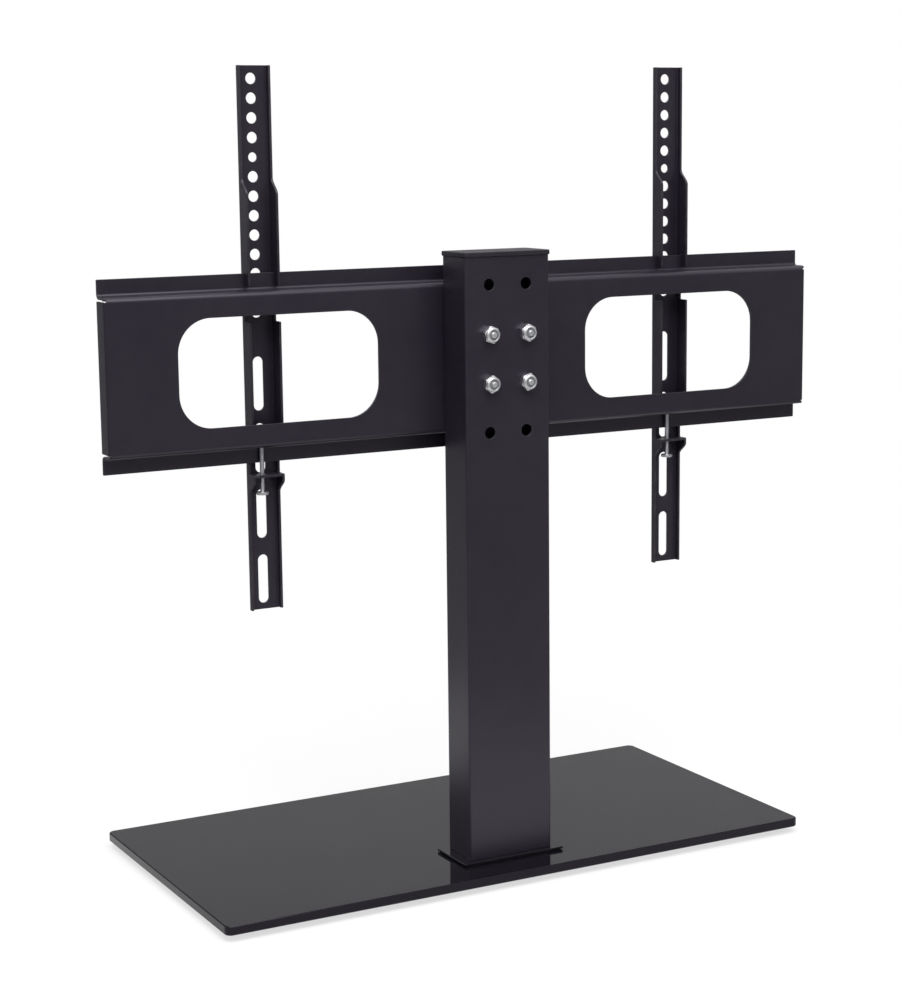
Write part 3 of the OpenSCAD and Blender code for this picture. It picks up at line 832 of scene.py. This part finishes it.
DUST = group("settled_dust", [("Amount", "Float", 0.1)], [("Dust", "Float")], dust_nodes)


def use(n, tree, **inputs):
    node = n.tree.nodes.new("ShaderNodeGroup")
    node.node_tree = tree
    for key, value in inputs.items():
        if isinstance(value, bpy.types.NodeSocket):
            n.tree.links.new(value, node.inputs[key])
        else:
            node.inputs[key].default_value = value
    return node.outputs


def finish_of(name, metallic=0.0, ior=1.5, specular=0.5, sheen=(1, 1, 1, 1)):
    """A new material: its node maker and its shader, with the plain values set."""
    material = bpy.data.materials.new(name)
    material.use_nodes = True
    tree = material.node_tree
    shader = tree.nodes["Principled BSDF"]
    shader.inputs["Metallic"].default_value = metallic
    shader.inputs["IOR"].default_value = ior
    shader.inputs["Specular IOR Level"].default_value = specular
    shader.inputs["Specular Tint"].default_value = sheen
    return material, Nodes(tree), shader


def feed(n, shader, colour, rough, height, strength, depth):
    """Joins the worked-out colour, roughness and height to the shader."""
    n.tree.links.new(colour, shader.inputs["Base Color"])
    n.tree.links.new(rough, shader.inputs["Roughness"])
    bump = n("Bump", {"Height": height, "Strength": strength, "Distance": depth})
    n.tree.links.new(bump.outputs[0], shader.inputs["Normal"])


VIOLET = (0.93, 0.88, 1.0, 1)


def powder_coat(name, specular=0.5, dull=0.30, dusty=0.04, tint=(0.0122, 0.0094, 0.0168, 1),
                rim=0.14):
    """A sprayed and baked black coat, thinner and greyer on the rims of a sheet."""
    material, n, shader = finish_of(name, specular=specular, sheen=VIOLET)
    tone = use(n, TONE, Colour=tint, Spread=0.004, Scale=9.0)
    peel = use(n, PEEL, Scale=1100.0, Wave=1.6)
    edge = use(n, EDGE, Amount=0.22)
    dust = use(n, DUST, Amount=dusty)["Dust"]
    colour = n.mix(n.maths("MULTIPLY", edge["Edge"], rim), tone["Colour"], grey(0.045))
    colour = n.mix(n.maths("MULTIPLY", edge["Rubbed"], rim*2), colour, grey(0.12))
    colour = n.mix(dust, colour, grey(0.30, 0.04))
    rough = n.maths("ADD", n.band(tone["Cloud"], 0, 1, dull, dull + 0.08),
                    n.maths("MULTIPLY", dust, 0.5))
    rough = n.maths("ADD", rough, n.maths("MULTIPLY", peel["Dimples"], 0.04))
    feed(n, shader, colour, rough, peel["Height"], 0.35, 0.00006)
    return material


def black_glass(name, specular, dull):
    """Black glass, polished or ground, with wipe marks, fine scratches and some dust."""
    material, n, shader = finish_of(name, ior=1.52, specular=specular, sheen=VIOLET)
    tone = use(n, TONE, Colour=(0.0044, 0.0034, 0.0064, 1), Spread=0.001, Scale=6.0)
    dust = use(n, DUST, Amount=0.05)["Dust"]
    lines = use(n, SCRATCH, Scale=700.0, Amount=0.3)["Lines"]
    wipes = n.band(n.noise(26.0, 4, 0.6, stretch=(1.0, 0.35, 1.0)), 0.42, 0.7)
    colour = n.mix(n.maths("MULTIPLY", dust, 0.35), tone["Colour"], grey(0.35, 0.03))
    rough = n.maths("ADD", n.maths("MULTIPLY", wipes, 0.035), dull)
    rough = n.maths("ADD", rough, n.maths("MULTIPLY", lines, 0.05))
    feed(n, shader, colour, rough, n.noise(3.0, 1), 0.05, 0.001)
    return material


def zinc(name, tint, dull, fleck):
    """Plated steel: bright, with the plating's fine crystals, light scratches and dull spots."""
    material, n, shader = finish_of(name, metallic=1.0)
    tone = use(n, TONE, Colour=tint, Spread=0.05, Scale=120.0)
    peel = use(n, PEEL, Scale=2600.0, Wave=1.0)
    lines = use(n, SCRATCH, Scale=1500.0, Amount=0.6)["Lines"]
    edge = use(n, EDGE, Amount=0.3)
    colour = n.mix(n.maths("MULTIPLY", lines, 0.4), tone["Colour"], grey(0.85))
    spots = n.band(n.noise(420.0, 3, 0.6), 0.58, 0.72)
    colour = n.mix(n.maths("MULTIPLY", spots, fleck), colour, grey(0.30, 0.02))
    colour = n.mix(n.maths("MULTIPLY", edge["Rubbed"], 0.3), colour, grey(0.8))
    rough = n.maths("ADD", n.band(tone["Cloud"], 0, 1, dull, dull + 0.10),
                    n.maths("MULTIPLY", spots, 0.12))
    feed(n, shader, colour, rough, peel["Height"], 0.18, 0.00003)
    return material


def moulded(name, tint, dull, grain, depth, spread=0.006, dusty=0.08, specular=0.5, rim=0.12):
    """Moulded plastic, nylon or rubber: an even skin with a fine texture and a little dust."""
    material, n, shader = finish_of(name, specular=specular)
    tone = use(n, TONE, Colour=tint, Spread=spread, Scale=30.0)
    peel = use(n, PEEL, Scale=grain, Wave=0.8)
    dust = use(n, DUST, Amount=dusty)["Dust"]
    colour = n.mix(dust, tone["Colour"], grey(0.30, 0.03))
    colour = n.mix(n.maths("MULTIPLY", use(n, EDGE, Amount=0.2)["Edge"], rim), colour, grey(0.2))
    rough = n.band(peel["Dimples"], 0, 1, dull, dull + 0.10)
    feed(n, shader, colour, n.maths("ADD", rough, n.maths("MULTIPLY", dust, 0.3)),
         peel["Height"], 0.4, depth)
    return material


COAT = powder_coat("black_powder_coat")
# The foot plate's coat: the same black coat, glossier, with a darker colour that is painted shade
# at the column's foot
FOOT_COAT_PAINTED_SHADE = powder_coat("foot_coat_painted_shade", 0.37, 0.06, 0.01, (0.005, 0.004, 0.007, 1), 0.02)
BLACK_GLASS = black_glass("black_glass", 0.37, 0.018)
GROUND_GLASS = black_glass("ground_glass_edge", 0.18, 0.14)
ZINC = zinc("bright_zinc", (0.86, 0.86, 0.88, 1), 0.26, 0.10)
DULL_ZINC = zinc("dull_zinc", (0.66, 0.66, 0.69, 1), 0.30, 0.25)
WELD_STEEL = zinc("plain_steel", (0.42, 0.41, 0.40, 1), 0.34, 0.5)
CAP_PLASTIC = moulded("cap_plastic", (0.0125, 0.0098, 0.0168, 1), 0.40, 1300.0, 0.00005,
                      dusty=0.03, specular=0.30, rim=0.02)
FOOT_RUBBER = moulded("foot_rubber", (0.016, 0.016, 0.017, 1), 0.66, 900.0, 0.00008, specular=0.35)
GASKET_RUBBER = moulded("gasket_rubber", (0.022, 0.022, 0.023, 1), 0.72, 700.0, 0.00008,
                        specular=0.35)
NYLON = moulded("natural_nylon", (0.62, 0.60, 0.55, 1), 0.42, 1200.0, 0.00004, 0.05)
GREY_NYLON = moulded("grey_nylon", (0.15, 0.155, 0.17, 1), 0.40, 1500.0, 0.00003, 0.01, 0.03)


# Each piece on its body. A face of the glass that tips further than this is its ground edge
FLAT_FACE = 0.999

slab = place_piece(glass_sheet(), "stand", ["glass_base"], BLACK_GLASS)
slab.data.materials.append(GROUND_GLASS)
for face in slab.data.polygons:
    face.material_index = 0 if abs(face.normal.z) > FLAT_FACE else 1
place_piece(rubber_feet(), "stand", ["base_feet"], FOOT_RUBBER)
# The foot plate, its coat colour darkened as painted shade
place_piece(foot_flange(), "stand", ["foot_plate"], FOOT_COAT_PAINTED_SHADE)
place_piece(column_body(), "stand", ["column_tube"], COAT)
place_piece(end_cap(), "stand", ["column_cap"], CAP_PLASTIC)
place_piece(folded_plate(), "stand", ["bracket_plate"], COAT)
place_piece(hex_bolts(), "stand", ["bracket_bolts"], ZINC)
place_piece(flat_washers(), "stand", ["bracket_washers"], ZINC)
place_piece(lock_nuts(), "stand", ["bracket_nuts"], ZINC)
place_piece(nylon_rings(), "stand", ["nut_inserts"], GREY_NYLON)
place_piece(channel_arm("left_channel", -ARM["x"], 6), "left_arm", ["left_arm"],
            COAT)
place_piece(channel_arm("right_channel", ARM["x"], 5), "right_arm", ["right_arm"],
            COAT)
place_piece(pan_screw("left_pan_screw", -ARM["x"]), "left_screw", ["left_safety_screw"],
            DULL_ZINC)
place_piece(pan_screw("right_pan_screw", ARM["x"]), "right_screw", ["right_safety_screw"],
            DULL_ZINC)

# The frame's own solids that stay, each with its finish
for node, finish in (("glass_sleeves", NYLON), ("clamp_gasket", GASKET_RUBBER),
                     ("foot_gasket", GASKET_RUBBER), ("clamp_plate", ZINC),
                     ("base_bolts", ZINC), ("foot_weld_nuts", WELD_STEEL)):
    for material_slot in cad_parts[node].material_slots:
        material_slot.material = finish


# Floor, walls, light and camera

FLOOR_R, ROOM_R, ROOM_H, ROOM_Z = 0.55, 14, 7.5, -0.002
WHITE_SHARE, DOME, WALL_WHITE = 0.66, 0.75, 0.93
CAMERA = dict(at=(0.8956, 1.6735, 0.6279), turn=28.133, dip=-9.458, roll=-0.664, lens=78.466)


def stage_piece(name, rings, material, camera=True):
    """A round stage surface from (radius, height) rings, seen from inside and above."""
    mesh = bpy.data.meshes.new(name)
    steps, verts, faces = 96, [], []
    for r, z in rings:
        verts += [(r*cos(2*pi*i/steps), r*sin(2*pi*i/steps), z) for i in range(steps)]
    for k in range(len(rings) - 1):
        for i in range(steps):
            j = (i + 1) % steps
            faces.append((k*steps + i, (k + 1)*steps + i, (k + 1)*steps + j, k*steps + j))
    mesh.from_pydata(verts, [], faces, shade_flat=False)
    mesh.materials.append(material)
    obj = bpy.data.objects.new(name, mesh)
    bpy.context.scene.collection.objects.link(obj)
    obj.visible_camera = camera
    return obj


def plain(name, colour, rough):
    material, _, shader = finish_of(name, specular=0.2)
    shader.inputs["Base Color"].default_value = colour
    shader.inputs["Roughness"].default_value = rough
    return material


def pale_finish():
    """The floor near the object. The camera sees it mostly as plain white, with a light
    shadow of the object on it."""
    material, n, shader = finish_of("pale_floor", specular=0.2)
    shader.inputs["Base Color"].default_value = grey(WALL_WHITE)
    shader.inputs["Roughness"].default_value = 0.9
    white = n("Emission", {"Color": grey(1.0), "Strength": 1.0})
    path = n("LightPath").outputs
    seen = n.maths("MAXIMUM", path["Is Camera Ray"], path["Is Glossy Ray"])
    seen = n.maths("MAXIMUM", seen, path["Is Transmission Ray"])
    both = n("MixShader", {0: n.maths("MULTIPLY", seen, WHITE_SHARE)})
    tree = material.node_tree
    tree.links.new(shader.outputs[0], both.inputs[1])
    tree.links.new(white.outputs[0], both.inputs[2])
    tree.links.new(both.outputs[0], tree.nodes["Material Output"].inputs["Surface"])
    return material


# The pale floor round the object, and the darker room further out, which the camera doesn't
# see: gloss on the metal and the glass shows it
stage_piece("pale_floor", [(0.001, 0), (FLOOR_R, 0)], pale_finish())
stage_piece("room_floor", [(FLOOR_R, ROOM_Z), (ROOM_R, ROOM_Z)],
            plain("room_floor", grey(0.30), 0.9), camera=False)
stage_piece("room_wall", [(ROOM_R, ROOM_Z), (ROOM_R, ROOM_H)],
            plain("room_wall", grey(WALL_WHITE), 0.9), camera=False)


def lamp(name, at, aim, size, watts):
    data = bpy.data.lights.new(name, "AREA")
    data.shape, data.size, data.size_y = "RECTANGLE", size[0], size[1]
    data.energy = watts
    obj = bpy.data.objects.new(name, data)
    obj.location = at
    obj.rotation_euler = (Vector(aim) - Vector(at)).to_track_quat("-Z", "Y").to_euler()
    bpy.context.scene.collection.objects.link(obj)


lamp("overhead_softbox", (0.5, 1.3, 2.4), (0, 0, 0.4), (2.4, 1.8), 66)


def sky():
    """White for the camera and for what metal and glass show, a soft grey dome for the rest."""
    world = bpy.data.worlds.new("studio_dome")
    bpy.context.scene.world = world
    world.use_nodes = True
    n, out = Nodes(world.node_tree), world.node_tree.nodes["World Output"]
    light = world.node_tree.nodes["Background"]
    light.inputs["Color"].default_value = grey(1.0)
    light.inputs["Strength"].default_value = DOME
    shown = n("Background", {"Color": grey(1.0), "Strength": 1.0})
    path = n("LightPath").outputs
    ray = n.maths("MAXIMUM", path["Is Camera Ray"], path["Is Glossy Ray"])
    ray = n.maths("MAXIMUM", ray, path["Is Transmission Ray"])
    both = n("MixShader", {0: ray})
    world.node_tree.links.new(light.outputs[0], both.inputs[1])
    world.node_tree.links.new(shown.outputs[0], both.inputs[2])
    world.node_tree.links.new(both.outputs[0], out.inputs["Surface"])


sky()


def camera():
    """The photograph's view: where it stands, how it is turned, and its lens."""
    turn, dip, roll = (radians(CAMERA[k]) for k in ("turn", "dip", "roll"))
    ahead = Vector((-sin(turn)*cos(dip), -cos(turn)*cos(dip), sin(dip)))
    right = Vector((-cos(turn), sin(turn), 0))
    up = right.cross(ahead)
    right, up = right*cos(roll) + up*sin(roll), up*cos(roll) - right*sin(roll)
    data = bpy.data.cameras.new("camera")
    data.lens, data.sensor_width = CAMERA["lens"], 36
    data.clip_start, data.clip_end = 0.05, 200
    obj = bpy.data.objects.new("camera", data)
    obj.matrix_world = (Matrix.Translation(CAMERA["at"])
                        @ Matrix((right, up, -ahead)).transposed().to_4x4())
    bpy.context.scene.collection.objects.link(obj)
    bpy.context.scene.camera = obj


camera()
bpy.context.scene.view_settings.view_transform = "Standard"
